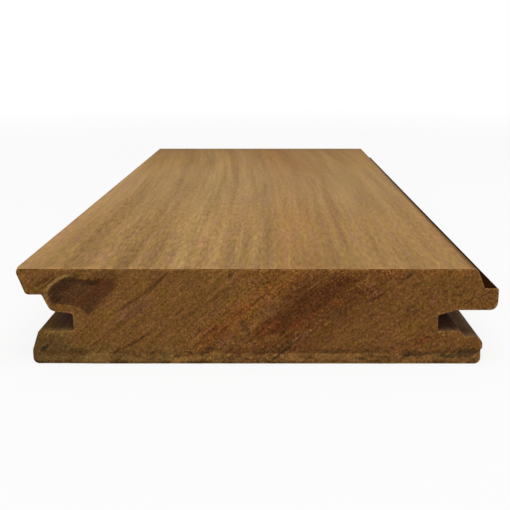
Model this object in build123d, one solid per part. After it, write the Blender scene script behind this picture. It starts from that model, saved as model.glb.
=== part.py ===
from build123d import *

import math
import os

# A decking board for hidden clips, moulded from one piece of hardwood.
# It lies on its underside: +X runs across the board from its nose to its tongue, +Y runs along
# the grain, and +Z is up. The origin is the middle of the underside. Sizes are in millimetres.

# Whole board
LENGTH = 320.0
WIDTH = 145.0  # from the tip of the nose to the tip of the tongue
THICKNESS = 30.0

# Lower lips, which stand below the clip grooves on both sides
LOWER_LIP_HEIGHT = 10.5  # underside to the floor of both grooves
LOWER_ARRIS_RADIUS = 1.8

# Nose edge, at -X
NOSE_DEPTH = 8.0  # top face to the nose's own underside
NOSE_ANGLE = 19.5  # lean of the nose's face from upright, in degrees
NOSE_REACH = 7.5  # how far the nose stands out past its shoulder
NOSE_TIP_RADIUS = 0.3
NOSE_HEEL_RADIUS = 1.4
NOSE_ROOT_RADIUS = 0.7
SHOULDER_RUN = 2.3  # how far the shoulder leans in on its way down to the groove
SHOULDER_RADIUS = 2.8

# Clip groove under the nose
NOSE_GROOVE_DEPTH = 16.6  # from the tip of the nose to the groove's inner wall
NOSE_GROOVE_HEIGHT = 5.5  # at the inner wall
NOSE_GROOVE_FLARE = 0.8  # how much higher the groove is at its shoulder
NOSE_GROOVE_CEILING_RADIUS = 1.0
NOSE_GROOVE_FLOOR_RADIUS = 0.6

# Lower lip under the nose
NOSE_LIP_SETBACK = 3.7  # from the tip of the nose to the lip's side
NOSE_LIP_RUN = 2.1  # how far the lip's upper side leans back
NOSE_LIP_UPRIGHT = 4.4  # height of the upright foot of the lip's side
NOSE_LIP_CREST_RADIUS = 0.6
NOSE_LIP_KNEE_RADIUS = 4.0

# Tongue edge, at +X
TONGUE_REACH = 6.7  # how far the tongue stands out past the corner of the top face
REBATE_DEPTH = 6.0  # top face to the top of the tongue
REBATE_RUN = 2.4  # how far the rebate's side leans out on its way down
REBATE_ROOT_RADIUS = 0.5
TOP_ARRIS_RADIUS = 1.6
TONGUE_THICKNESS = 6.9
TONGUE_TOP_RADIUS = 0.7
TONGUE_UNDER_RADIUS = 2.4

# Clip groove under the tongue
TONGUE_GROOVE_DEPTH = 17.8  # from the tip of the tongue to the groove's inner wall
TONGUE_GROOVE_HEIGHT = 5.0  # at the inner wall
TONGUE_GROOVE_TAPER = 5.8  # width over which the ceiling slopes up to the tongue's underside
TONGUE_GROOVE_CORNER_RADIUS = 0.5
TONGUE_GROOVE_KNEE_RADIUS = 2.0
OUTER_FLOOR_WIDTH = 5.6  # from the lip's side to the foot of the step
FLOOR_STEP_RUN = 1.4
FLOOR_STEP_DROP = 1.8
FLOOR_STEP_RADIUS = 0.6

# Lower lip under the tongue
TONGUE_LIP_SETBACK = 4.4  # from the tip of the tongue to the foot of the lip's side
LIP_BEAD_DEPTH = 4.2  # from the lip's top down to the ledge below its bead
LIP_BEAD_REACH = 0.5  # how far the bead stands out past the foot
LIP_CREST_RADIUS = 2.8


def nose_corners():
    """Corners of the -X edge as (x, z, radius), from the top face down to the underside."""
    tip_x = -WIDTH / 2
    lean = math.radians(NOSE_ANGLE)
    # The sharp corner stands past the tip, so that the rounded tip ends at the full width.
    past_tip = NOSE_TIP_RADIUS * (math.tan(lean) + 1 / math.cos(lean) - 1)
    corner_x = tip_x - past_tip
    nose_under_z = THICKNESS - NOSE_DEPTH
    heel_x = corner_x + NOSE_DEPTH * math.tan(lean)
    root_x = tip_x + NOSE_REACH
    wall_x = tip_x + NOSE_GROOVE_DEPTH
    ceiling_z = LOWER_LIP_HEIGHT + NOSE_GROOVE_HEIGHT
    side_x = tip_x + NOSE_LIP_SETBACK
    return [
        (corner_x, THICKNESS, NOSE_TIP_RADIUS),
        (heel_x, nose_under_z, NOSE_HEEL_RADIUS),
        (root_x, nose_under_z, NOSE_ROOT_RADIUS),
        (root_x + SHOULDER_RUN, ceiling_z + NOSE_GROOVE_FLARE, SHOULDER_RADIUS),
        (wall_x, ceiling_z, NOSE_GROOVE_CEILING_RADIUS),
        (wall_x, LOWER_LIP_HEIGHT, NOSE_GROOVE_FLOOR_RADIUS),
        (side_x + NOSE_LIP_RUN, LOWER_LIP_HEIGHT, NOSE_LIP_CREST_RADIUS),
        (side_x, NOSE_LIP_UPRIGHT, NOSE_LIP_KNEE_RADIUS),
        (side_x, 0, LOWER_ARRIS_RADIUS),
    ]


def tongue_corners():
    """Corners of the +X edge as (x, z, radius), from the underside up to the top face."""
    tip_x = WIDTH / 2
    foot_x = tip_x - TONGUE_LIP_SETBACK
    bead_x = foot_x + LIP_BEAD_REACH
    wall_x = tip_x - TONGUE_GROOVE_DEPTH
    step_foot_x = bead_x - OUTER_FLOOR_WIDTH
    outer_floor_z = LOWER_LIP_HEIGHT - FLOOR_STEP_DROP
    ledge_z = outer_floor_z - LIP_BEAD_DEPTH
    tongue_top_z = THICKNESS - REBATE_DEPTH
    tongue_under_z = tongue_top_z - TONGUE_THICKNESS
    top_corner_x = tip_x - TONGUE_REACH
    return [
        (foot_x, 0, LOWER_ARRIS_RADIUS),
        (foot_x, ledge_z, 0),
        (bead_x, ledge_z + LIP_BEAD_REACH, 0),
        (bead_x, outer_floor_z, LIP_CREST_RADIUS),
        (step_foot_x, outer_floor_z, FLOOR_STEP_RADIUS),
        (step_foot_x - FLOOR_STEP_RUN, LOWER_LIP_HEIGHT, FLOOR_STEP_RADIUS),
        (wall_x, LOWER_LIP_HEIGHT, TONGUE_GROOVE_CORNER_RADIUS),
        (wall_x, LOWER_LIP_HEIGHT + TONGUE_GROOVE_HEIGHT, TONGUE_GROOVE_CORNER_RADIUS),
        (wall_x + TONGUE_GROOVE_TAPER, tongue_under_z, TONGUE_GROOVE_KNEE_RADIUS),
        (tip_x, tongue_under_z, TONGUE_UNDER_RADIUS),
        (tip_x, tongue_top_z, TONGUE_TOP_RADIUS),
        (top_corner_x + REBATE_RUN, tongue_top_z, REBATE_ROOT_RADIUS),
        (top_corner_x, THICKNESS, TOP_ARRIS_RADIUS),
    ]


def decking_board():
    """The board: its section drawn across X and Z, run out along Y to both sides of the origin."""
    corners = nose_corners() + tongue_corners()
    points = [(x, z) for x, z, radius in corners]
    radii = [radius for x, z, radius in corners]
    section = make_face(FilletPolyline(*points, radius=radii, close=True))
    return extrude(Plane.XZ * section, LENGTH / 2, both=True)


os.makedirs("parts", exist_ok=True)
export_step(decking_board(), "parts/decking_board.step")
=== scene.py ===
import math
from collections import namedtuple

import bmesh
import bpy
import numpy as np
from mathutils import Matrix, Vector, noise
from mathutils.geometry import delaunay_2d_cdt


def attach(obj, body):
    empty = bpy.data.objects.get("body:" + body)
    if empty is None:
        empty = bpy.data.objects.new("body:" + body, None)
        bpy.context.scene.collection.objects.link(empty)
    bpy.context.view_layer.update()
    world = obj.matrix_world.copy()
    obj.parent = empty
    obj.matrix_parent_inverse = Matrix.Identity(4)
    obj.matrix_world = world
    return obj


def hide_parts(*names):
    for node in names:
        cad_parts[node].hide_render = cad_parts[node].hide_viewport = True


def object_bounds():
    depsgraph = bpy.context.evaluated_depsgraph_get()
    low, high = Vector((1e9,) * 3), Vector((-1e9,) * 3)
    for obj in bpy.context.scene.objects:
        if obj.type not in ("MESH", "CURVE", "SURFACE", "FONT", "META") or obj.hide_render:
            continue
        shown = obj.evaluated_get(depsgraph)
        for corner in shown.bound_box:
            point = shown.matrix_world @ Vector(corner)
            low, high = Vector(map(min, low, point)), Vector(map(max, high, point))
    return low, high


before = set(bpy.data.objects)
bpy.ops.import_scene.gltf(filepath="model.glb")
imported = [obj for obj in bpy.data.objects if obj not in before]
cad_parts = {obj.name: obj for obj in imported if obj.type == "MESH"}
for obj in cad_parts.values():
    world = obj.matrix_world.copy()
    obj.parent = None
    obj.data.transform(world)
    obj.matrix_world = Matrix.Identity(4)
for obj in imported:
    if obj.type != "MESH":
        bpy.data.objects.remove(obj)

# A hardwood decking board lying on a white floor, seen from just above one of its sawn ends.
# Shapes and textures are written in millimetres, in the frame of the board: +X runs across it from
# the nose to the tongue, +Y along the grain away from the camera, and +Z up from the underside.

MM = 0.001
NODE = "decking_board"
BODY = "root"
CAD_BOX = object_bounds()
FRONT = CAD_BOX[0].y / MM
BACK = CAD_BOX[1].y / MM
NOSE_TIP = CAD_BOX[0].x / MM
THICKNESS = CAD_BOX[1].z / MM

# Camera
IMAGE_SIZE = 510
FOCAL_PIXELS = 800.0
SENSOR_WIDTH = 36.0
AXIS_PIXEL_X = 271.5  # where the camera's axis meets the picture
CAMERA_PLACE = (4.18, -390.11, 91.56)
CAMERA_PITCH = 13.96  # degrees below the horizon

# Mesh spacing
OUTLINE_STEP = 1.2
RING_STEP = 2.6
END_RINGS = (0.7, 1.3, 2.0, 3.0, 4.2, 5.6, 7.2)  # distances of the closer rings from each end
CAP_STEP = 0.7
CAP_CLEARANCE = 0.4  # from the outline to the nearest point inside a sawn end
SHARP_ANGLE = 34.0
FACE_DEPTH = 1.5  # how far below the top, or above the underside, a planed face can lie
FACE_LEAN = 0.5  # least share of its normal that points straight up or down
FAR_FROM_EDGE = 9.0  # stored where a point is on no sawn end

# Wear and saw marks
ARRIS_BREAK = (0.03, 0.16)  # least and most width of the broken edge round a sawn end
SAW_ROUGHNESS = 0.08
SAW_SCALE = 1.3
LEDGE_TOP = 3.3  # height of the strip that the saw left standing at the foot of the front end
LEDGE_DEPTH = 0.3
LEDGE_START = -62.0  # the strip runs out towards the nose
LEDGE_FADE = 14.0
LEDGE_RAGGED = 0.9  # how far its upper edge wanders
LEDGE_SOFT = 0.8
PLANE_WAVE = 0.03
FRONT_SAW_SEED = 2.3
BACK_SAW_SEED = 11.9
FRONT_ARRIS_SEED = 4.4
BACK_ARRIS_SEED = 8.8

# Worn corner where the nose meets the front end
NOSE_LEAN = 19.5  # of the nose's face from upright, in degrees
NOSE_TIP_RADIUS = 0.3
NOSE_WEAR_RADIUS = 1.2
NOSE_WEAR_LENGTH = 7.0  # how far back from the front end the wear runs out
NOSE_STEP = 0.35  # mesh spacing round the tip
NOSE_STEP_REACH = 3.0

# Growth rings, as circles round a pith that lies outside the board
PITH_X = 300.0
PITH_Z = -330.0
RING_START = 404.0
RING_SPAN = 116.0
DRIFT_START = -40.0  # from here towards the back the grain bends to the nose side
DRIFT_RATE = 0.00025
RING_WANDER = 2.5
TURN_RADIUS = 450.0  # of a middle ring, where an angle is measured as a length
CUTTER_PITCH = 1.8  # from one cutter mark to the next along the moulded sides

# Tones are written as a picture shows them, and raised to this power to light a linear colour
PICTURE_GAMMA = 2.2


def srgb(red, green, blue):
    """A colour as a picture gives it, 0 to 255 a channel, turned to linear values with full alpha."""
    channels = [c / 255 for c in (red, green, blue)]
    linear = [c / 12.92 if c <= 0.04045 else ((c + 0.055) / 1.055) ** 2.4 for c in channels]
    return (*linear, 1.0)


# Colours of the planed faces
TAN = srgb(162, 125, 77)
PALE_TAN = srgb(171, 137, 86)
PINK_TAN = srgb(176, 137, 90)
ORANGE_TAN = srgb(163, 121, 72)
OLIVE_TAN = srgb(152, 117, 70)
GREY_TAN = srgb(159, 123, 79)
BROWN_FLECK = srgb(120, 88, 50)
YELLOW_TAN = srgb(164, 131, 73)
ROSY_TAN = srgb(163, 122, 87)
RED_TAN = srgb(147, 103, 63)
# Painted sheen: a pale tan that stands in for a glancing reflection on the top
PAINTED_SHEEN_TAN = srgb(178, 148, 106)
FRONT_PINK = srgb(172, 127, 84)
ARRIS_BROWN = srgb(94, 60, 28)

# Colours of the sawn ends
END_TAN = srgb(119, 81, 41)
END_BROWN = srgb(114, 75, 37)
END_OLIVE = srgb(115, 84, 35)
END_PINK = srgb(121, 79, 52)
END_ORANGE = srgb(128, 80, 37)
END_DARK_RED = srgb(98, 57, 28)
END_DARK_BROWN = srgb(81, 48, 25)
STRIP_OLIVE = srgb(115, 84, 46)
HEART_BROWN = srgb(79, 51, 30)
HEART_RED = srgb(96, 56, 29)
HEART_BLACK = srgb(60, 39, 24)
RIM_YELLOW = srgb(146, 112, 64)
STREAK_BROWN = srgb(80, 51, 27)
PATCH_RED = srgb(112, 58, 27)
PATCH_PINK = srgb(117, 79, 52)
PATCH_OLIVE = srgb(78, 58, 32)
STAIN_BLACK = srgb(46, 39, 29)
PIT_BROWN = srgb(80, 45, 21)
LIP_OLIVE = srgb(106, 83, 44)
TOP_ORANGE = srgb(134, 86, 41)
PATCH_TAN = srgb(140, 96, 48)

# Colours of the moulded sides
SIDE_TAN = srgb(150, 115, 68)
SIDE_ROSY = srgb(144, 104, 65)
GROOVE_BROWN = srgb(112, 90, 82)
REBATE_BLACK = srgb(44, 23, 8)
LIP_GREY = srgb(156, 134, 110)
GROOVE_OLIVE = srgb(122, 94, 46)
FLOOR_BROWN = srgb(106, 76, 47)

# The dark heart on the front end, as a loop of (x, z) points
HEART_OUTLINE = [
    (-63.2, 21.6),
    (-61.8, 19.4),
    (-59.0, 18.9),
    (-55.6, 18.6),
    (-53.2, 17.6),
    (-51.8, 15.3),
    (-50.2, 15.9),
    (-48.2, 18.6),
    (-46.0, 21.2),
    (-43.6, 23.0),
    (-41.8, 25.6),
    (-43.0, 26.9),
    (-47.0, 27.0),
    (-51.0, 26.8),
    (-54.5, 27.3),
    (-57.6, 27.1),
    (-60.0, 26.0),
    (-62.2, 24.0),
]


def section_outline():
    """The board's section as a loop of (x, z) points, read from the front end of the CAD node."""
    bm = bmesh.new()
    bm.from_mesh(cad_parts[NODE].data)
    bmesh.ops.remove_doubles(bm, verts=bm.verts, dist=0.001 * MM)
    front = {v for v in bm.verts if abs(v.co.y / MM - FRONT) < 0.001}
    steps = {}
    for face in bm.faces:
        if front.issuperset(face.verts):
            for loop in face.loops:
                inner = all(front.issuperset(f.verts) for f in loop.edge.link_faces)
                if not inner:
                    steps[loop.vert] = loop.link_loop_next.vert
    start = next(iter(steps))
    loop = [start]
    while steps[loop[-1]] is not start:
        loop.append(steps[loop[-1]])
    points = np.array([(v.co.x / MM, v.co.z / MM) for v in loop])
    bm.free()
    after = np.roll(points, -1, axis=0)
    area = np.sum(points[:, 0] * after[:, 1] - after[:, 0] * points[:, 1]) / 2
    return points if area > 0 else points[::-1]


def resample(points, step, near=(0.0, 0.0), reach=math.inf):
    """The same loop with its long edges divided, where they lie within reach of a point."""
    out = []
    for here, after in zip(points, np.roll(points, -1, axis=0)):
        close = np.linalg.norm((here + after) / 2 - near) < reach
        count = max(1, math.ceil(np.linalg.norm(after - here) / step)) if close else 1
        out += [here + (after - here) * k / count for k in range(count)]
    return np.array(out)


def outward_normals(points):
    """Unit normals of an anticlockwise loop, pointing out of it."""
    along = np.roll(points, -1, axis=0) - np.roll(points, 1, axis=0)
    along /= np.linalg.norm(along, axis=1)[:, None]
    return np.stack([along[:, 1], -along[:, 0]], axis=1)


def distance_to_loop(points, loop):
    """Distance from each point to the nearest edge of a closed loop."""
    edge = np.roll(loop, -1, axis=0) - loop
    offset = points[:, None, :] - loop[None]
    share = np.clip((offset * edge).sum(-1) / (edge**2).sum(-1), 0, 1)
    return np.linalg.norm(offset - share[..., None] * edge, axis=-1).min(axis=1)


def inside_loop(points, loop):
    """True for each point inside a closed loop."""
    x, z = points[:, :1], points[:, 1:]
    ax, az = loop[:, 0], loop[:, 1]
    bx, bz = np.roll(ax, -1), np.roll(az, -1)
    spans = (az > z) != (bz > z)
    rise = np.where(bz == az, 1.0, bz - az)
    crossing = ax + (z - az) / rise * (bx - ax)
    return (spans & (x < crossing)).sum(axis=1) % 2 == 1


def smooth_step(value):
    """A smooth rise from 0 to 1 as the value goes from 0 to 1."""
    share = max(0.0, min(1.0, value))
    return share * share * (3 - 2 * share)


def unit_noise(x, y, z):
    """Smooth noise from 0 to 1."""
    return 0.5 + 0.5 * max(-1.0, min(1.0, noise.noise(Vector((x, y, z)))))


def saw_depth(x, z, seed):
    """How far a point of a sawn end lies behind the saw's furthest cut."""
    coarse = unit_noise(x / 9, z / 9, seed)
    fine = unit_noise(x / SAW_SCALE, z / SAW_SCALE, seed + 5)
    return SAW_ROUGHNESS * (0.5 * coarse + 0.5 * fine)


def ledge_share(x, z):
    """0 on the strip left standing at the foot of the front end and 1 above its ragged upper edge."""
    edge = LEDGE_TOP + LEDGE_RAGGED * (unit_noise(x / 6, 3.1, 7.7) - 0.5)
    standing = smooth_step(0.5 - (z - edge) / LEDGE_SOFT)
    return 1 - standing * smooth_step((x - LEDGE_START) / LEDGE_FADE)


def heart_distance(points):
    """Distance from each point to the outline of the heart, less than 0 inside it."""
    loop = np.array(HEART_OUTLINE)
    distance = distance_to_loop(points, loop)
    return np.where(inside_loop(points, loop), -distance, distance)


def patch_place(points, patches):
    """How far out each point lies in the nearest of several ellipses: 0 at a centre and 1 at a rim."""
    places = []
    for patch in patches:
        tilt = math.radians(patch.tilt)
        offset = points - np.array([patch.x, patch.up])
        along = offset @ np.array([math.cos(tilt), math.sin(tilt)])
        aside = offset @ np.array([-math.sin(tilt), math.cos(tilt)])
        places.append(np.hypot(along / patch.half_length, aside / patch.half_width))
    return np.min(places, axis=0)


def front_depth(x, z):
    """How far a point of the front end lies behind the end of the board."""
    return saw_depth(x, z, FRONT_SAW_SEED) + LEDGE_DEPTH * ledge_share(x, z)


def back_depth(x, z):
    """How far a point of the back end lies inside the end of the board."""
    return saw_depth(x, z, BACK_SAW_SEED)


def nose_wear(section, from_front):
    """Shift of each point of the section where the nose's front corner is worn round."""
    radius = NOSE_WEAR_RADIUS * max(0.0, 1 - from_front / NOSE_WEAR_LENGTH) ** 2
    if radius <= NOSE_TIP_RADIUS:
        return np.zeros_like(section)
    lean = math.radians(NOSE_LEAN)
    spread = math.tan(lean) + 1 / math.cos(lean)
    corner_x = NOSE_TIP - NOSE_TIP_RADIUS * (spread - 1)
    offset = section - np.array([corner_x + radius * spread, THICKNESS - radius])
    reach = np.linalg.norm(offset, axis=1)
    up_face = offset @ np.array([-math.sin(lean), math.cos(lean)])
    worn = (offset[:, 0] < 0) & (up_face > 0) & (reach > radius)
    return np.where(worn[:, None], offset * (radius / reach - 1)[:, None], 0.0)


class BoardMesh:
    """Collects the vertices and faces of the board, with a finish for each face."""

    PLANED, MOULDED, SAWN = range(3)

    def __init__(self):
        self.places = []
        self.faces = []
        self.kinds = []
        self.stored = {name: [] for name in ("edge_mm", "ledge", "heart_mm", *WIDE_PATCHES)}

    def store(self, points, edge_distance, front):
        """Adds the numbers that the materials read at each point of the section."""
        self.stored["edge_mm"] += list(edge_distance)
        self.stored["ledge"] += [ledge_share(x, z) if front else 1.0 for x, z in points]
        self.stored["heart_mm"] += list(heart_distance(points))
        for name, patches in WIDE_PATCHES.items():
            self.stored[name] += list(patch_place(points, patches))

    def ring(self, section, depths, edge_distance=FAR_FROM_EDGE):
        """Adds a loop of vertices and returns their numbers."""
        first = len(self.places)
        self.places += [(x, y, z) for (x, z), y in zip(section, depths)]
        self.store(section, [edge_distance] * len(section), True)
        return list(range(first, len(self.places)))

    def strip(self, near, far, kinds):
        """Adds the faces between two loops, the first nearer the front."""
        for i in range(len(near)):
            j = (i + 1) % len(near)
            self.faces.append((near[i], far[i], far[j], near[j]))
            self.kinds.append(kinds[i])

    def cap(self, boundary, section, depth, end_y, sign):
        """Fills a sawn end inside its boundary loop. Sign is 1 at the front and -1 at the back."""
        lo, hi = section.min(axis=0), section.max(axis=0)
        grid = []
        for n, z in enumerate(np.arange(lo[1], hi[1], CAP_STEP * math.sqrt(0.75))):
            shift = CAP_STEP / 2 * (n % 2)
            grid += [(x, z) for x in np.arange(lo[0] + shift, hi[0], CAP_STEP)]
        grid = np.array(grid)
        grid = grid[inside_loop(grid, section)]
        distance = distance_to_loop(grid, section)
        grid, distance = grid[distance > CAP_CLEARANCE], distance[distance > CAP_CLEARANCE]
        count = len(section)
        edges = [(i, (i + 1) % count) for i in range(count)]
        flat = [Vector(p) for p in np.concatenate([section, grid])]
        triangles = delaunay_2d_cdt(flat, edges, [], 0, 1e-6, False)[2]
        middles = np.array([sum((flat[k] for k in t), Vector((0, 0))) / 3 for t in triangles])
        triangles = [t for t, kept in zip(triangles, inside_loop(middles, section)) if kept]
        first = len(self.places)
        self.places += [(x, end_y + sign * depth(x, z), z) for x, z in grid]
        self.store(grid, distance, sign > 0)
        numbers = boundary + list(range(first, len(self.places)))
        for triangle in triangles:
            a, b, c = (flat[k] for k in triangle)
            anticlockwise = (b - a).cross(c - a) > 0
            order = triangle if anticlockwise == (sign > 0) else triangle[::-1]
            self.faces.append(tuple(numbers[k] for k in order))
            self.kinds.append(self.SAWN)


def board_kinds(section, normals):
    """The finish of each edge of the section: the planed faces, or the moulded sides between them."""
    middle = (section + np.roll(section, -1, axis=0)) / 2
    facing = (normals + np.roll(normals, -1, axis=0))[:, 1] / 2
    top = (facing > FACE_LEAN) & (middle[:, 1] > THICKNESS - FACE_DEPTH)
    under = (facing < -FACE_LEAN) & (middle[:, 1] < FACE_DEPTH)
    return [BoardMesh.PLANED if flat else BoardMesh.MOULDED for flat in top | under]


def broken_arris(section, seed):
    """Width of the broken edge at each point of the section's outline."""
    least, most = ARRIS_BREAK
    share = [unit_noise(x / 2.1, z / 2.1, seed) ** 2 for x, z in section]
    return least + (most - least) * np.array(share)


def ring_places():
    """Places along Y of the loops between the two ends."""
    near = [FRONT + d for d in END_RINGS]
    far = [BACK - d for d in reversed(END_RINGS)]
    count = math.ceil((far[0] - near[-1]) / RING_STEP)
    return near + list(np.linspace(near[-1], far[0], count + 1)[1:-1]) + far


def build_board():
    """The board as one closed mesh: its section run along Y, with sawn ends."""
    section = resample(section_outline(), OUTLINE_STEP)
    section = resample(section, NOSE_STEP, (NOSE_TIP, THICKNESS), NOSE_STEP_REACH)
    normals = outward_normals(section)
    kinds = board_kinds(section, normals)
    sawn = [BoardMesh.SAWN] * len(section)
    mesh = BoardMesh()

    worn = section + nose_wear(section, 0)
    front_break = broken_arris(section, FRONT_ARRIS_SEED)
    front_cut = np.array([front_depth(x, z) for x, z in worn])
    front_section = worn - normals * front_break[:, None]
    front_loop = mesh.ring(front_section, FRONT + front_cut, 0.0)
    previous = mesh.ring(worn, FRONT + front_cut + front_break, 0.0)
    mesh.strip(front_loop, previous, sawn)

    for y in ring_places():
        wave = [PLANE_WAVE * unit_noise(x / 14, y / 30, z / 14) for x, z in section]
        shaped = section + nose_wear(section, y - FRONT) - normals * np.array(wave)[:, None]
        ring = mesh.ring(shaped, np.full(len(section), y))
        mesh.strip(previous, ring, kinds)
        previous = ring

    back_break = broken_arris(section, BACK_ARRIS_SEED)
    back_cut = np.array([back_depth(x, z) for x, z in section])
    last = mesh.ring(section, BACK - back_cut - back_break, 0.0)
    mesh.strip(previous, last, kinds)
    back_section = section - normals * back_break[:, None]
    back_loop = mesh.ring(back_section, BACK - back_cut, 0.0)
    mesh.strip(last, back_loop, sawn)

    mesh.cap(front_loop, front_section, front_depth, FRONT, 1)
    mesh.cap(back_loop, back_section, back_depth, BACK, -1)

    data = bpy.data.meshes.new("board_timber")
    data.from_pydata([tuple(c * MM for c in p) for p in mesh.places], [], mesh.faces)
    data.polygons.foreach_set("material_index", mesh.kinds)
    data.polygons.foreach_set("use_smooth", [True] * len(mesh.faces))
    for name, values in mesh.stored.items():
        data.attributes.new(name, "FLOAT", "POINT").data.foreach_set("value", values)
    data.set_sharp_from_angle(angle=math.radians(SHARP_ANGLE))
    data.validate()
    board = bpy.data.objects.new("board_timber", data)
    bpy.context.scene.collection.objects.link(board)
    return board


class Field:
    """A number that varies over a surface: an output of a node tree, with arithmetic on it."""

    def __init__(self, tree, socket):
        self.tree = tree
        self.socket = socket

    def _math(self, operation, *values):
        node = self.tree.nodes.new("ShaderNodeMath")
        node.operation = operation
        for slot, value in zip(node.inputs, values):
            feed(self.tree, slot, value)
        return Field(self.tree, node.outputs[0])

    def __add__(self, other):
        return self._math("ADD", self, other)

    def __sub__(self, other):
        return self._math("SUBTRACT", self, other)

    def __rsub__(self, other):
        return self._math("SUBTRACT", other, self)

    def __mul__(self, other):
        return self._math("MULTIPLY", self, other)

    def __truediv__(self, other):
        return self._math("DIVIDE", self, other)

    __radd__ = __add__

    def power(self, exponent):
        return self._math("POWER", self, exponent)

    def absolute(self):
        return self._math("ABSOLUTE", self)

    def sine(self):
        return self._math("SINE", self)

    def at_least(self, other):
        return self._math("MAXIMUM", self, other)

    def angle_from(self, other):
        return self._math("ARCTAN2", self, other)

    def step(self, start, stop):
        """A smooth step from 0 at start to 1 at stop, either way round."""
        node = self.tree.nodes.new("ShaderNodeMapRange")
        node.interpolation_type = "SMOOTHSTEP"
        rising = start < stop
        ends = (start, stop, 0.0, 1.0) if rising else (stop, start, 1.0, 0.0)
        for slot, value in zip(node.inputs, (self, *ends)):
            feed(self.tree, slot, value)
        return Field(self.tree, node.outputs[0])

    def band(self, centre, half_width, soft):
        """1 within half_width of centre, falling to 0 over the soft distance."""
        return (self - centre).absolute().step(half_width + soft, half_width)


def feed(tree, slot, value):
    """Links a field or socket to an input, or sets the input to a plain value."""
    if isinstance(value, Field):
        value = value.socket
    if isinstance(value, bpy.types.NodeSocket):
        tree.links.new(value, slot)
    else:
        slot.default_value = value


def vector(tree, x, y, z):
    """Three numbers joined into a place."""
    node = tree.nodes.new("ShaderNodeCombineXYZ")
    for slot, value in zip(node.inputs, (x, y, z)):
        feed(tree, slot, value)
    return node.outputs[0]


def noise_field(tree, place, detail=2.0, roughness=0.55):
    """Smooth noise of unit cell size, from about 0 to 1 with a mean of a half."""
    node = tree.nodes.new("ShaderNodeTexNoise")
    tree.links.new(place, node.inputs["Vector"])
    node.inputs["Scale"].default_value = 1.0
    node.inputs["Detail"].default_value = detail
    node.inputs["Roughness"].default_value = roughness
    return Field(tree, node.outputs["Fac"])


def cells(tree, place):
    """Distance to the nearest of scattered points with unit spacing, and a random number for each."""
    node = tree.nodes.new("ShaderNodeTexVoronoi")
    tree.links.new(place, node.inputs["Vector"])
    node.inputs["Scale"].default_value = 1.0
    split = tree.nodes.new("ShaderNodeSeparateColor")
    tree.links.new(node.outputs["Color"], split.inputs[0])
    return Field(tree, node.outputs["Distance"]), Field(tree, split.outputs[0])


def mesh_value(tree, name):
    """A number stored at the points of the mesh."""
    node = tree.nodes.new("ShaderNodeAttribute")
    node.attribute_name = name
    return Field(tree, node.outputs["Fac"])


def mix(tree, share, base, other):
    """A colour between two, by a share that varies over the surface."""
    node = tree.nodes.new("ShaderNodeMix")
    node.data_type = "RGBA"
    feed(tree, node.inputs[0], share)
    feed(tree, node.inputs[6], base)
    feed(tree, node.inputs[7], other)
    return node.outputs[2]


def ring_ramp(tree, share, bands):
    """A colour ramp with stops given as (ring radius, colour)."""
    node = tree.nodes.new("ShaderNodeValToRGB")
    feed(tree, node.inputs[0], share)
    elements = node.color_ramp.elements
    while len(elements) < len(bands):
        elements.new(0.5)
    for element, (radius, colour) in zip(elements, bands):
        element.position = (radius - RING_START) / RING_SPAN
        element.color = colour
    return node.outputs[0]


def brighten(tree, colour, tone):
    """A colour made lighter or darker by a tone that varies over the surface."""
    node = tree.nodes.new("ShaderNodeVectorMath")
    node.operation = "SCALE"
    tree.links.new(colour, node.inputs[0])
    feed(tree, node.inputs["Scale"], tone.power(PICTURE_GAMMA))
    return node.outputs[0]


class Timber:
    """The grain at a point: its place, its place across the bending grain, and its growth ring."""

    def __init__(self, tree):
        self.tree = tree
        place = tree.nodes.new("ShaderNodeTexCoord").outputs["Object"]
        split = tree.nodes.new("ShaderNodeSeparateXYZ")
        tree.links.new(place, split.inputs[0])
        self.x, self.y, self.z = (Field(tree, s) * (1 / MM) for s in split.outputs)
        bend = (self.y - DRIFT_START).at_least(0.0).power(2.0) * DRIFT_RATE
        self.across = self.x + bend
        off_x = self.across - PITH_X
        off_z = self.z - PITH_Z
        wander = self.noise(40, 180, 40) - 0.5
        self.radius = (off_x * off_x + off_z * off_z).power(0.5) + wander * RING_WANDER
        self.turn = off_z.angle_from(off_x) * -TURN_RADIUS
        self.share = (self.radius - RING_START) / RING_SPAN

    def noise(self, across, along, high, detail=2.0, roughness=0.55):
        """Noise with cells of the given sizes across the board, along it and up it."""
        place = vector(self.tree, self.across / across, self.y / along, self.z / high)
        return noise_field(self.tree, place, detail, roughness)

    def ring_noise(self, thick, round_ring, along, detail=3.0):
        """Noise drawn out along the growth rings."""
        place = vector(self.tree, self.radius / thick, self.turn / round_ring, self.y / along)
        return noise_field(self.tree, place, detail)

    def patch(self, patch, ragged, axes, soft):
        """1 inside an ellipse on two axes, with a ragged soft edge."""
        node = self.tree.nodes.new("ShaderNodeMapping")
        node.vector_type = "TEXTURE"
        feed(self.tree, node.inputs["Vector"], axes)
        node.inputs["Location"].default_value = (patch.x, patch.up, 0)
        node.inputs["Rotation"].default_value = (0, 0, math.radians(patch.tilt))
        node.inputs["Scale"].default_value = (patch.half_length, patch.half_width, 1)
        length = self.tree.nodes.new("ShaderNodeVectorMath")
        length.operation = "LENGTH"
        self.tree.links.new(node.outputs[0], length.inputs[0])
        return (Field(self.tree, length.outputs["Value"]) + ragged).step(1 + soft, 1 - soft)

    def wide_patches(self, name, ragged, soft=0.35):
        """1 inside any of the ellipses of a group that is kept on the mesh."""
        return (mesh_value(self.tree, name) + ragged).step(1 + soft, 1 - soft)

    def patches(self, patches, ragged, axes, soft=0.35):
        """1 inside any of several ellipses."""
        masks = [self.patch(p, ragged, axes, soft) for p in patches]
        total = masks[0]
        for mask in masks[1:]:
            total = total.at_least(mask)
        return total


# An ellipse on the end face or on the top. Up is its height on the end face and its place along Y on
# the top, and tilt is the angle of its long axis from +X in degrees.
Patch = namedtuple("Patch", "x up half_length half_width tilt")


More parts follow.
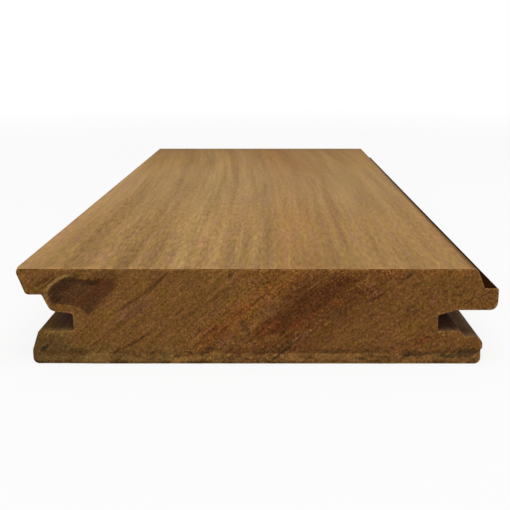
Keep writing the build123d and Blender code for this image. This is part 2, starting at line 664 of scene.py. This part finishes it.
def streak(start, stop, half_width):
    """A thin patch from one point to another."""
    along = np.subtract(stop, start)
    middle = np.add(start, stop) / 2
    tilt = math.degrees(math.atan2(along[1], along[0]))
    return Patch(*middle, np.linalg.norm(along) / 2, half_width, tilt)


def new_material(name):
    """A new material, its tree and its shader."""
    material = bpy.data.materials.new(name)
    material.use_nodes = True
    tree = material.node_tree
    return material, tree, tree.nodes["Principled BSDF"]


def dress(tree, shader, colour, roughness, specular):
    """Gives a shader its colour and its finish."""
    tree.links.new(colour, shader.inputs["Base Color"])
    feed(tree, shader.inputs["Roughness"], roughness)
    shader.inputs["Specular IOR Level"].default_value = specular


def bump(tree, shader, height, distance):
    """Fine relief, with the height in units of the distance."""
    node = tree.nodes.new("ShaderNodeBump")
    node.inputs["Strength"].default_value = 1.0
    node.inputs["Distance"].default_value = distance * MM
    feed(tree, node.inputs["Height"], height)
    tree.links.new(node.outputs[0], shader.inputs["Normal"])


TOP_BANDS = [
    (430.0, TAN),
    (452.0, TAN),
    (458.0, ORANGE_TAN),
    (464.0, ORANGE_TAN),
    (467.0, GREY_TAN),
    (470.0, TAN),
    (473.0, GREY_TAN),
    (479.0, TAN),
    (484.5, PALE_TAN),
    (489.5, TAN),
    (496.0, OLIVE_TAN),
    (501.0, TAN),
    (507.0, OLIVE_TAN),
    (511.5, TAN),
    (517.0, PINK_TAN),
]

TOP_FLECKS = [Patch(-42.5, -128, 40, 4.0, 90), Patch(-60, -95, 60, 3.0, 90)]
TOP_DARKS = [Patch(-41.5, -143, 18, 3.8, 90)]
TOP_REDS = [Patch(18, 116, 44, 6.0, 94), Patch(26, 58, 55, 6.0, 92), Patch(29, -60, 60, 1.5, 90)]
TOP_PALES = [
    Patch(-14.0, -128, 30, 1.6, 90),
    Patch(-26.0, -70, 70, 1.8, 90),
    Patch(-50.0, -40, 60, 2.4, 90),
    Patch(-1.5, -135, 22, 1.0, 90),
    Patch(46.0, 78, 45, 4.0, 92),
    Patch(-21.0, -20, 45, 2.0, 90),
]
TOP_SHADES = [
    Patch(-57.5, -20, 130, 2.2, 90),
    Patch(2.0, -128, 28, 1.6, 90),
    Patch(38.0, -130, 26, 1.6, 90),
    Patch(-43.0, -70, 40, 1.2, 90),
    Patch(-32.5, -15, 70, 2.0, 90),
    Patch(-3.0, -72, 40, 2.0, 90),
    Patch(9.5, -20, 45, 2.0, 90),
]
TOP_SCRATCHES = [streak((-70, -131), (-52, -128), 0.35)]


def planed_material():
    """Long grain planed smooth, on the walking face and the underside."""
    material, tree, shader = new_material("planed_face")
    wood = Timber(tree)
    axes = vector(tree, wood.across, wood.y, 0.0)
    broad = wood.noise(4.6, 140, 4.6)
    streaks = wood.noise(2.2, 60, 2.2)
    dashes = wood.noise(1.0, 6, 1.0)
    fibres = wood.noise(0.3, 2.0, 0.3)
    distance, lot = cells(tree, vector(tree, wood.across / 0.9, wood.y / 6.5, wood.z / 0.9))
    pores = distance.step(0.32, 0.12) * lot.step(0.35, 0.6)
    ragged = (wood.noise(2.0, 24, 2.0, 3.0) - 0.5) * 1.6

    hue = wood.noise(2.0, 26, 2.0)
    colour = ring_ramp(tree, wood.share, TOP_BANDS)
    colour = mix(tree, hue.step(0.5, 0.68) * 0.8, colour, YELLOW_TAN)
    colour = mix(tree, hue.step(0.5, 0.32) * 0.8, colour, ROSY_TAN)
    # Painted sheen: the middle of the top, along the board, is paled towards a whitish tan
    colour = mix(tree, wood.y.band(0, 25, 70) * 0.25, colour, PAINTED_SHEEN_TAN)
    colour = mix(tree, wood.patches(TOP_PALES, ragged, axes) * 0.55, colour, PALE_TAN)
    colour = mix(tree, wood.patches(TOP_SHADES, ragged, axes) * 0.5, colour, OLIVE_TAN)
    red = 0.4 + wood.y.step(60, 110) * 0.15
    colour = mix(tree, wood.patches(TOP_REDS, ragged, axes, 0.8) * red, colour, RED_TAN)
    colour = mix(tree, wood.patches(TOP_DARKS, ragged, axes) * 0.25, colour, BROWN_FLECK)
    flecks = wood.patches(TOP_FLECKS, ragged, axes) * wood.noise(0.6, 7, 0.6).step(0.54, 0.66)
    colour = mix(tree, flecks * 0.7, colour, BROWN_FLECK)
    colour = mix(tree, wood.patches(TOP_SCRATCHES, 0.0, axes) * 0.35, colour, PALE_TAN)
    dark_arris = wood.x.step(63.6, 65.4) * wood.z.step(20, 28) * (0.9 - wood.y.step(-60, 140) * 0.5)
    colour = mix(tree, dark_arris, colour, ARRIS_BROWN)
    front_edge = wood.y.step(FRONT + 3.0, FRONT + 0.6)
    colour = mix(tree, front_edge * 0.6, colour, FRONT_PINK)
    far_end = wood.y.step(70, 160) * 0.02 + wood.y.step(132, 160) * 0.05
    # Tone along the board: a little brighter round the middle, a painted sheen, and darker towards the
    # far end
    along = 0.985 + wood.y.band(0, 60, 110) * 0.03 - far_end
    contrast = 1.5 - wood.x.step(-20, 20) * 0.4 - wood.x.step(-58, -66) * 0.6
    fineness = 1.0 - wood.y.step(-120, 20) * 0.5
    fine_grain = (dashes - 0.5) * 0.36 + (fibres - 0.5) * 0.14 - pores * 0.05
    streaky = 0.2 - wood.y.step(-10, 110) * 0.1
    grain = (broad - 0.5) * 0.24 + (streaks - 0.5) * streaky + fine_grain * fineness
    tone = along + front_edge * 0.03 + grain * contrast
    colour = brighten(tree, colour, tone)
    dress(tree, shader, colour, 0.7, 0.02)
    bump(tree, shader, fibres * 0.6 - pores * 0.5, 0.05)
    return material


END_BANDS = [
    (404.0, END_BROWN),
    (436.0, END_BROWN),
    (444.0, END_DARK_RED),
    (451.0, END_DARK_RED),
    (456.0, END_TAN),
    (459.0, END_ORANGE),
    (463.0, END_ORANGE),
    (467.0, END_TAN),
    (517.0, END_TAN),
]

HEART_REDS = [Patch(-47.0, 24.2, 5.2, 2.2, 30), Patch(-54.0, 20.2, 3.4, 1.4, 0)]
HEART_BLACKS = [
    streak((-62.8, 21.6), (-55.6, 26.9), 1.7),
    Patch(-61.0, 20.6, 2.0, 1.2, 35),
    Patch(-52.0, 26.0, 4.0, 0.9, -4),
]
DARK_BROWNS = [
    streak((1.0, 8.6), (13.0, 16.0), 2.6),
    streak((11.0, 15.5), (20.0, 21.0), 2.6),
    streak((16.0, 19.8), (28.0, 26.2), 2.0),
    Patch(13.5, 21.8, 5.0, 2.6, 30),
]
DARK_REDS = [
    Patch(12.5, 17.0, 16.0, 5.2, 36),
    Patch(21.5, 22.5, 8.0, 3.0, 32),
    Patch(12.0, 24.0, 6.5, 3.0, 28),
]
DARK_STREAKS = [
    streak((-44.3, 15.5), (-34.0, 22.3), 0.5),
    streak((-35.0, 21.6), (-26.2, 29.3), 0.7),
    streak((-43.5, 3.5), (-34.0, 9.1), 0.5),
    streak((-52.0, 4.9), (-48.4, 7.6), 0.35),
    streak((-17.0, 3.2), (-13.0, 5.6), 0.8),
    streak((32.4, 19.4), (37.2, 21.9), 0.4),
    streak((46.0, 24.2), (49.2, 26.2), 0.5),
    streak((66.0, 20.8), (70.2, 23.2), 0.3),
    streak((-67.4, 24.2), (-61.0, 28.2), 0.7),
    streak((-66.4, 22.8), (-59.6, 28.0), 0.35),
    Patch(52.3, 8.4, 0.9, 0.4, 0),
]
FAINT_STREAKS = [
    streak((-22.2, 14.7), (-14.7, 19.7), 0.7),
    streak((-14.7, 19.7), (-7.2, 24.9), 0.7),
]
TAN_PATCHES = [
    Patch(-21.8, 20.8, 4.2, 2.2, 30),
    Patch(-33.0, 25.8, 3.4, 1.5, 35),
    Patch(-15.0, 26.0, 3.0, 1.5, 30),
    Patch(33.0, 25.8, 3.4, 1.5, 20),
    Patch(-3.0, 5.8, 3.6, 1.4, 20),
    Patch(3.4, 8.2, 3.0, 1.2, 20),
    Patch(-33.0, 3.4, 3.4, 1.1, 5),
    Patch(-21.0, 3.2, 3.2, 1.0, 0),
]
RED_PATCHES = [
    Patch(3.5, 11.6, 5.0, 2.0, 20),
    Patch(12.2, 12.6, 2.6, 1.4, 30),
    Patch(17.0, 15.9, 3.4, 0.7, 33),
    Patch(-12.0, 10.6, 3.0, 1.3, 40),
    Patch(-5.0, 16.8, 4.0, 1.6, 40),
    Patch(24.5, 19.2, 2.4, 0.7, 10),
    Patch(50.0, 7.2, 3.2, 1.5, 25),
    Patch(-68.0, 23.8, 0.8, 0.6, 0),
    Patch(27.5, 13.6, 1.0, 0.7, 0),
]
PINK_PATCHES = [
    Patch(-38.0, 17.2, 5.5, 2.4, 36),
    Patch(12.8, 8.2, 4.4, 1.2, 36),
    Patch(-62.8, 5.5, 2.0, 0.9, 25),
    Patch(-10.8, 7.2, 2.6, 1.3, 30),
    Patch(4.0, 16.5, 3.4, 1.6, 25),
]
OLIVE_PATCHES = [
    Patch(-63.5, 6.0, 6.0, 3.0, 0),
    Patch(23.4, 15.6, 3.6, 1.6, 20),
    Patch(-3.8, 11.5, 2.8, 1.0, -52),
    Patch(46.5, 17.2, 1.9, 1.4, 0),
    Patch(45.8, 28.5, 2.2, 0.8, 25),
    Patch(35.0, 4.2, 4.0, 1.0, 5),
    Patch(9.0, 6.0, 4.0, 1.1, 35),
    Patch(-16.0, 4.0, 3.4, 0.9, 20),
    Patch(-58.0, 4.2, 8.0, 0.9, 0),
    Patch(-8.0, 27.4, 0.6, 1.2, 0),
    Patch(21.0, 3.9, 6.5, 0.7, 2),
    Patch(2.0, 3.8, 5.0, 0.7, 8),
    Patch(58.0, 4.0, 6.0, 0.9, 8),
]
STAINS = [
    streak((6.2, 2.9), (10.6, 5.6), 0.6),
    streak((4.4, 1.2), (7.0, 3.0), 0.4),
    Patch(-65.3, 4.9, 1.6, 0.6, 38),
    Patch(47.4, 3.0, 4.4, 0.7, 3),
    Patch(57.4, 2.5, 1.3, 0.6, 0),
    Patch(62.6, 2.9, 4.2, 0.8, 8),
    Patch(64.6, 3.6, 3.6, 1.2, 8),
]
WIDE_PATCHES = {
    "pinks": PINK_PATCHES,
    "dark_reds": DARK_REDS,
    "dark_browns": DARK_BROWNS,
    "olives": OLIVE_PATCHES,
    "tans": TAN_PATCHES,
    "reds": RED_PATCHES,
}


def sawn_material():
    """Sawn end grain: the rings cut across, with pores, a dark heart and stains on the front end."""
    material, tree, shader = new_material("sawn_end")
    wood = Timber(tree)
    axes = vector(tree, wood.across, wood.z, 0.0)
    front = wood.y.step(-20, -80)
    rings = wood.ring_noise(0.8, 14, 40)
    broad = wood.ring_noise(2.2, 30, 60)
    blotches = wood.noise(4, 60, 4)
    grains = wood.noise(0.75, 30, 0.75, 1.0)
    fine = wood.noise(0.38, 30, 0.38, 1.0)
    hue = wood.noise(0.7, 30, 0.7, 1.0) * 0.4 + wood.ring_noise(1.5, 5, 40) * 0.4 + blotches * 0.2
    distance, lot = cells(tree, vector(tree, wood.x / 0.9, wood.y / 30, wood.z / 0.9))
    ragged = (wood.noise(1.0, 30, 1.0, 3.0, 0.65) - 0.5) * 1.2 + (rings - 0.5) * 1.4

    colour = ring_ramp(tree, wood.share, END_BANDS)
    colour = mix(tree, hue.step(0.48, 0.62) * 0.9, colour, END_OLIVE)
    colour = mix(tree, hue.step(0.48, 0.36) * 0.9, colour, END_PINK)
    colour = mix(tree, wood.z.step(27.0, 29.6) * wood.x.step(-25, 0) * 0.6, colour, TOP_ORANGE)
    left_lip = wood.x.step(-54, -60) * wood.z.step(11.5, 9.0)
    colour = mix(tree, left_lip * front * 0.55, colour, LIP_OLIVE)
    vague = wood.x.step(-56, -49)
    heart = mesh_value(tree, "heart_mm") + ragged * (0.5 + vague)
    heart_rim = heart.band(0.75, 0.25, 0.3) * wood.x.step(-54, -57) * wood.z.step(20, 22)
    colour = mix(tree, heart_rim * front * 0.9, colour, RIM_YELLOW)
    heart_dark = heart.step(0.3, -0.4) * (1 - vague) + heart.step(0.6, -1.1) * vague
    colour = mix(tree, heart_dark * front * 0.92, colour, HEART_BROWN)
    ledge = mesh_value(tree, "ledge")
    strip = 1 - ledge
    colour = mix(tree, strip * (0.35 + blotches * 0.6), colour, STRIP_OLIVE)
    low_left = wood.x.step(0, -28) * wood.z.step(8.0, 3.0)
    colour = mix(tree, low_left * front * 0.5, colour, LIP_OLIVE)
    layers = (
        (wood.patches(HEART_REDS, ragged, axes), HEART_RED, 0.6),
        (wood.patches(HEART_BLACKS, ragged, axes), HEART_BLACK, 0.75),
        (wood.wide_patches("pinks", ragged), PATCH_PINK, 0.5),
        (wood.wide_patches("dark_reds", ragged), END_DARK_RED, 0.65),
        (wood.wide_patches("dark_browns", ragged), END_DARK_BROWN, 0.6),
        (wood.wide_patches("olives", ragged), PATCH_OLIVE, 0.55),
        (wood.wide_patches("tans", ragged), PATCH_TAN, 0.4),
        (wood.wide_patches("reds", ragged), PATCH_RED, 0.4),
        (wood.patches(FAINT_STREAKS, ragged, axes), STREAK_BROWN, 0.4),
        (wood.patches(DARK_STREAKS, ragged, axes), STREAK_BROWN, 0.75),
        (wood.patches(STAINS, ragged, axes), STAIN_BLACK, 0.72),
    )
    for mask, tint, strength in layers:
        colour = mix(tree, mask * front * strength, colour, tint)
    patchy = wood.noise(7, 60, 2)
    foot_line = ledge.band(0.85, 0.3, 0.3) * wood.z.step(5.0, 3.6) * patchy.step(0.46, 0.6)
    colour = mix(tree, foot_line * 0.6, colour, STREAK_BROWN)
    edge = mesh_value(tree, "edge_mm")
    outer_left = wood.x.step(-64.5, -66.5) * front
    colour = mix(tree, edge.step(0.7, 0.1) * grains * (1 - outer_left) * 0.7, colour, RIM_YELLOW)
    colour = mix(tree, edge.step(0.6, 0.1) * outer_left * 0.45, colour, STREAK_BROWN)
    # The foot of the end is darkened: in patches on the strip, and along the bottom edge as painted
    # shade, most towards the nose
    foot = strip * (0.13 - wood.noise(9, 60, 4).step(0.4, 0.65) * 0.14)
    foot = foot + wood.z.step(1.3, 0.2) * (0.12 + wood.x.step(5, -20) * 0.14)
    # Painted highlight: the upper edge of the strip at the foot of the front end is lightened as if it
    # caught the light
    painted_ledge_highlight = ledge.band(0.25, 0.2, 0.25) * patchy.step(0.62, 0.42) * 0.22
    pitted = wood.radius.band(455, 10, 6) * front
    spots = distance.step(0.5, 0.2)
    colour = mix(tree, spots * lot.step(0.5, 0.3) * (0.12 + pitted * 0.45), colour, PIT_BROWN)
    specks = spots * lot.step(0.65, 0.85) * (0.14 + pitted * 0.12)
    halo = heart.step(4.0, 0.5) * wood.z.step(24, 27.5) * front * 0.07
    tone = 1.0 - foot - halo + painted_ledge_highlight + specks
    coarse = 0.58 + pitted * 0.2 + wood.x.step(20, 45) * 0.16
    tone = tone + (grains - 0.5) * coarse + (fine - 0.5) * 0.5
    tone = tone + (rings - 0.5) * 0.56 + (broad - 0.5) * 0.2
    colour = brighten(tree, colour, tone)
    dress(tree, shader, colour, 0.85, 0.03)
    bump(tree, shader, grains, 0.12)
    return material


def moulded_material():
    """The moulded sides, darker in the clip grooves and nearly black on the floor of the rebate."""
    material, tree, shader = new_material("moulded_side")
    wood = Timber(tree)
    streaks = wood.noise(1.2, 40, 1.2)
    dashes = wood.noise(0.8, 5, 0.8)
    fibres = wood.noise(0.3, 3, 0.3)
    hue = wood.noise(1.4, 16, 1.4)
    side = wood.x.absolute()
    inside = side.step(69, 60) * wood.z.step(8.2, 10.0) * wood.z.step(18.5, 16.5)
    lip = wood.x.step(60, 62) * wood.z.step(6.5, 8.4) * wood.z.step(12, 10)
    rebate = wood.x.step(66.5, 67.5) * wood.z.step(23.0, 23.6) * wood.z.step(29.5, 27)
    colour = mix(tree, hue.step(0.35, 0.65), SIDE_ROSY, SIDE_TAN)
    colour = mix(tree, lip * 0.8, colour, LIP_GREY)
    colour = mix(tree, inside, colour, GROOVE_BROWN)
    colour = mix(tree, rebate, colour, REBATE_BLACK)
    floors = wood.z.step(11.4, 10.8) * wood.z.step(7.6, 8.4)
    nose_floor = floors * wood.x.step(-54, -56) * wood.y.step(FRONT + 16, FRONT + 1)
    colour = mix(tree, nose_floor * 0.7, colour, GROOVE_OLIVE)
    tongue_floor = floors * wood.x.step(53, 55) * wood.y.step(FRONT + 14, FRONT + 5)
    colour = mix(tree, tongue_floor * 0.7, colour, FLOOR_BROWN)
    tone = 1.0 + (streaks - 0.5) * 0.4 + (dashes - 0.5) * 0.4 + (fibres - 0.5) * 0.15
    colour = brighten(tree, colour, tone)
    dress(tree, shader, colour, 0.75, 0.0)
    cutter = (wood.y * (2 * math.pi / CUTTER_PITCH)).sine()
    bump(tree, shader, fibres * 0.8 + cutter * 0.12, 0.05)
    return material


def add_camera():
    """The camera at the height and tilt that the picture's edges give."""
    data = bpy.data.cameras.new("camera")
    data.sensor_width = SENSOR_WIDTH
    data.lens = SENSOR_WIDTH * FOCAL_PIXELS / IMAGE_SIZE
    data.shift_x = (IMAGE_SIZE / 2 - AXIS_PIXEL_X) / IMAGE_SIZE
    data.clip_start = 0.01
    camera = bpy.data.objects.new("camera", data)
    camera.location = [c * MM for c in CAMERA_PLACE]
    camera.rotation_euler = (math.radians(90 - CAMERA_PITCH), 0, 0)
    bpy.context.scene.collection.objects.link(camera)
    bpy.context.scene.camera = camera


# Lights, with lengths in metres and powers in watts
KEY_PLACE = (0.1, -0.4, 1.2)
KEY_TARGET = (0, 0, 0)
KEY_SIZE = 1.0
KEY_POWER = 8.6
FILL_PLACE = (-0.3, -1.4, 0.6)
FILL_TARGET = (0, -0.16, 0.015)
FILL_SIZE = 0.8
FILL_POWER = 2.6
WORLD_LEVEL = 0.42  # light from all round, as a share of the white that the camera sees


def add_area_light(name, place, target, size, power):
    """A square soft light that faces a target point."""
    data = bpy.data.lights.new(name, "AREA")
    data.shape = "SQUARE"
    data.size = size
    data.energy = power
    light = bpy.data.objects.new(name, data)
    light.location = place
    light.rotation_euler = (Vector(target) - Vector(place)).to_track_quat("-Z", "Y").to_euler()
    bpy.context.scene.collection.objects.link(light)


def background_rays(tree):
    """1 for the rays that should see a plain white background."""
    path = tree.nodes.new("ShaderNodeLightPath")
    names = ("Is Camera Ray", "Is Glossy Ray", "Is Transmission Ray")
    camera, glossy, transmission = (Field(tree, path.outputs[n]) for n in names)
    return camera.at_least(glossy).at_least(transmission)


def add_world():
    """Even dim light from all round, seen as white."""
    world = bpy.data.worlds.new("studio")
    world.use_nodes = True
    tree = world.node_tree
    shader = tree.nodes["Background"]
    shader.inputs["Color"].default_value = (1, 1, 1, 1)
    feed(tree, shader.inputs["Strength"], WORLD_LEVEL + background_rays(tree) * (1 - WORLD_LEVEL))
    bpy.context.scene.world = world


# Floor, with lengths in metres
FLOOR_HALF = 6.0
FLOOR_GLOW = 0.85  # how far the floor near the board is whitened where the camera sees it
FLOOR_FADE = (0.3, 1.2)  # distances over which it turns wholly white


def add_floor():
    """A wide white floor that keeps a soft shadow of the board."""
    data = bpy.data.meshes.new("floor")
    corners = [(-1, -1), (1, -1), (1, 1), (-1, 1)]
    data.from_pydata([(x * FLOOR_HALF, y * FLOOR_HALF, 0.0) for x, y in corners], [], [(0, 1, 2, 3)])
    floor = bpy.data.objects.new("floor", data)
    bpy.context.scene.collection.objects.link(floor)
    material, tree, shader = new_material("white_floor")
    shader.inputs["Base Color"].default_value = (0.9, 0.9, 0.9, 1)
    shader.inputs["Roughness"].default_value = 0.9
    shader.inputs["Specular IOR Level"].default_value = 0.0
    length = tree.nodes.new("ShaderNodeVectorMath")
    length.operation = "LENGTH"
    tree.links.new(tree.nodes.new("ShaderNodeTexCoord").outputs["Object"], length.inputs[0])
    far = Field(tree, length.outputs["Value"]).step(*FLOOR_FADE)
    glow = tree.nodes.new("ShaderNodeEmission")
    blend = tree.nodes.new("ShaderNodeMixShader")
    feed(tree, blend.inputs[0], background_rays(tree) * (FLOOR_GLOW + far * (1 - FLOOR_GLOW)))
    tree.links.new(shader.outputs[0], blend.inputs[1])
    tree.links.new(glow.outputs[0], blend.inputs[2])
    tree.links.new(blend.outputs[0], tree.nodes["Material Output"].inputs["Surface"])
    data.materials.append(material)


def main():
    bpy.context.scene.view_settings.view_transform = "Standard"
    board = build_board()
    for material in (planed_material(), moulded_material(), sawn_material()):
        board.data.materials.append(material)
    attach(board, BODY)
    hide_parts(NODE)
    add_camera()
    add_world()
    add_floor()
    add_area_light("key", KEY_PLACE, KEY_TARGET, KEY_SIZE, KEY_POWER)
    add_area_light("front_fill", FILL_PLACE, FILL_TARGET, FILL_SIZE, FILL_POWER)


main()
